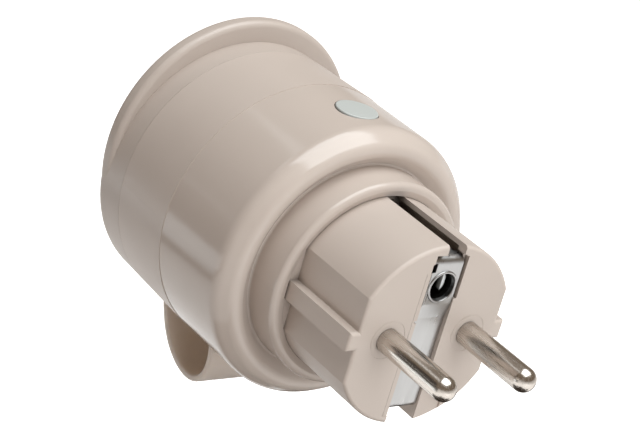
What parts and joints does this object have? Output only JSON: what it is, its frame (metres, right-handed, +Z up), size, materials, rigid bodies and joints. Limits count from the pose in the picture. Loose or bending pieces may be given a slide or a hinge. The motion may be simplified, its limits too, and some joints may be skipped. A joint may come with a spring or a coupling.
{
  "type": "outdoor smart plug",
  "caption": "Round outdoor smart plug with plug pins and an earth groove at one end, a button in its side, and a capped socket at the other end, its cap held by a flexible strap.",
  "frame": {"origin": "on the plug face, midway between the two pins", "axes": "+Y runs along the pins towards the wall socket, +Z is up past the earth hole to the button, and the pins lie along X"},
  "size_m": [0.0574, 0.0918, 0.0728],
  "materials": {
    "housing": "gloss, warm taupe",
    "block": "fine matt, warm taupe",
    "sleeve": "satin, warm taupe",
    "cap": "satin, warm taupe",
    "strap": "satin, flexible, warm taupe",
    "lens": "frosted translucent, pale grey",
    "pin_nickel": "nickel plate with a fine brushed grain",
    "earth_plate": "tinned, satin",
    "spring_metal": "satin",
    "copper": "satin copper alloy",
    "screw_steel": "zinc plated",
    "seal_rubber": "matt black",
    "clear_rubber": "translucent silicone",
    "insert_plastic": "satin, taupe",
    "carrier_plastic": "matt, off-white",
    "board_green": "solder mask, green",
    "part_black": "matt black",
    "part_blue": "gloss blue",
    "part_yellow": "gloss yellow",
    "part_grey": "gloss grey"
  },
  "bodies": {
    "body": {"rear_housing": "housing", "plug_block": "block", "block_seal": "seal_rubber", "left_pin": "pin_nickel", "right_pin": "pin_nickel", "left_busbar": "copper", "right_busbar": "copper", "earth_strip": "earth_plate", "earth_sleeve": "spring_metal", "main_board": "board_green", "board_screws": "screw_steel", "housing_screws": "screw_steel", "front_housing": "insert_plastic", "housing_seal": "seal_rubber", "front_sleeve": "sleeve", "socket_well": "insert_plastic", "socket_base": "insert_plastic", "socket_gasket": "seal_rubber", "socket_earth_bracket": "spring_metal", "earth_jumper": "copper", "shutter_spring": "spring_metal", "contact_carrier": "carrier_plastic", "left_contact": "copper", "right_contact": "copper", "relay": "part_black", "film_capacitor": "part_yellow", "varistor": "part_blue", "fuse_resistor": "part_grey", "transformer": "part_yellow", "bulk_capacitors": "part_black", "choke": "part_black", "converter_chip": "part_black", "metering_chip": "part_black", "current_shunt": "part_grey", "wireless_board": "board_green", "wireless_module": "part_grey", "tact_switch": "part_black", "status_led": "carrier_plastic", "button_seal": "clear_rubber", "button_retainer": "carrier_plastic", "cap_strap": "strap"},
    "cap": {"socket_cap": "cap", "cap_seal": "seal_rubber"},
    "button": {"button_lens": "lens", "switch_plunger": "part_grey"},
    "shutter": {"shutter": "carrier_plastic"}
  },
  "joints": [
    {"name": "cap_hinge", "type": "hinge", "parent": "body", "child": "cap", "pos_m": [0, -0.0635, -0.0293], "axis": [1, 0, 0], "range_deg": [0, 110], "deforming": ["cap_strap"]},
    {"name": "button_press", "type": "slide", "parent": "body", "child": "button", "axis": [0, 0, -1], "range_m": [0, 0.0005], "stiffness_N_per_m": 800, "springref_m": -0.0004},
    {"name": "shutter_turn", "type": "hinge", "parent": "body", "child": "shutter", "pos_m": [0, -0.0474, 0], "axis": [0, 1, 0], "range_deg": [0, 40], "stiffness_Nm_per_rad": 0.002, "springref_deg": -11.46, "deforming": ["shutter_spring"]}
  ]
}
